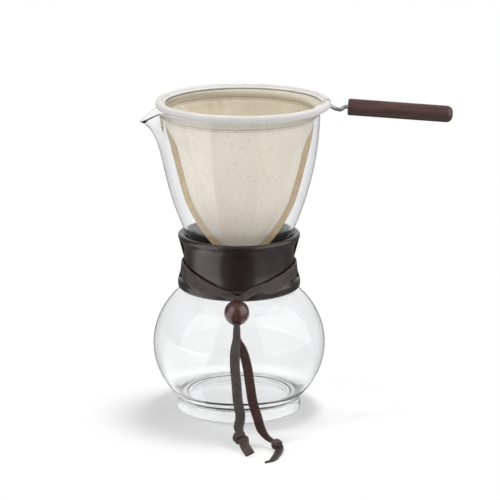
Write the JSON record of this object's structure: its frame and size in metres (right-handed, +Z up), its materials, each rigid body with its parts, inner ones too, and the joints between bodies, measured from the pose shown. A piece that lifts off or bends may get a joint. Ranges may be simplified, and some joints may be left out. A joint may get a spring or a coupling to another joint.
{
  "type": "pour-over coffee pot with cloth filter",
  "caption": "Pour-over coffee pot: waisted glass jug with a pulled spout, wooden collar tied by a thong and bead, and a cloth filter on a wire ring with a wooden grip.",
  "frame": {"origin": "middle of the foot ring's flat face on the table, on the axis of the glass", "axes": "+Z up along the axis of the glass, +X towards the filter's grip, -X towards the spout, -Y towards the bead and the thong's tails"},
  "size_m": [0.2057, 0.1815, 0.2105],
  "materials": {
    "glass": "clear, fire-polished",
    "collar_wood": "dark brown, glossy lacquer",
    "grip_wood": "red-brown, glossy lacquer",
    "bead_wood": "red-brown, glossy lacquer",
    "thong_leather": "grain side grey-brown and smooth, flesh side red-brown suede",
    "ring_wire": "bright drawn wire",
    "hem_cloth": "off-white cotton, napped",
    "pocket_cloth": "cream cotton flannel, woven",
    "seam_thread": "cream cotton thread, overcast",
    "hem_thread": "white cotton thread, straight stitch"
  },
  "bodies": {
    "pot": {"glass_pot": "glass", "collar_front": "collar_wood", "collar_rear": "collar_wood", "thong_wrap": "thong_leather", "thong_tail_left": "thong_leather", "thong_tail_right": "thong_leather", "thong_knot_left": "thong_leather", "thong_knot_right": "thong_leather"},
    "filter": {"filter_wire": "ring_wire", "filter_grip": "grip_wood", "cloth_hem": "hem_cloth", "cloth_front": "pocket_cloth", "cloth_rear": "pocket_cloth", "seam_thread": "seam_thread", "hem_thread": "hem_thread"},
    "bead": {"bead": "bead_wood"}
  },
  "joints": [
    {"name": "filter_lift", "type": "slide", "parent": "pot", "child": "filter", "axis": [0, 0, 1], "range_m": [0, 0.13]},
    {"name": "bead_slide", "type": "slide", "parent": "pot", "child": "bead", "axis": [0, -0.6282, -0.7781], "range_m": [0, 0.008]}
  ]
}
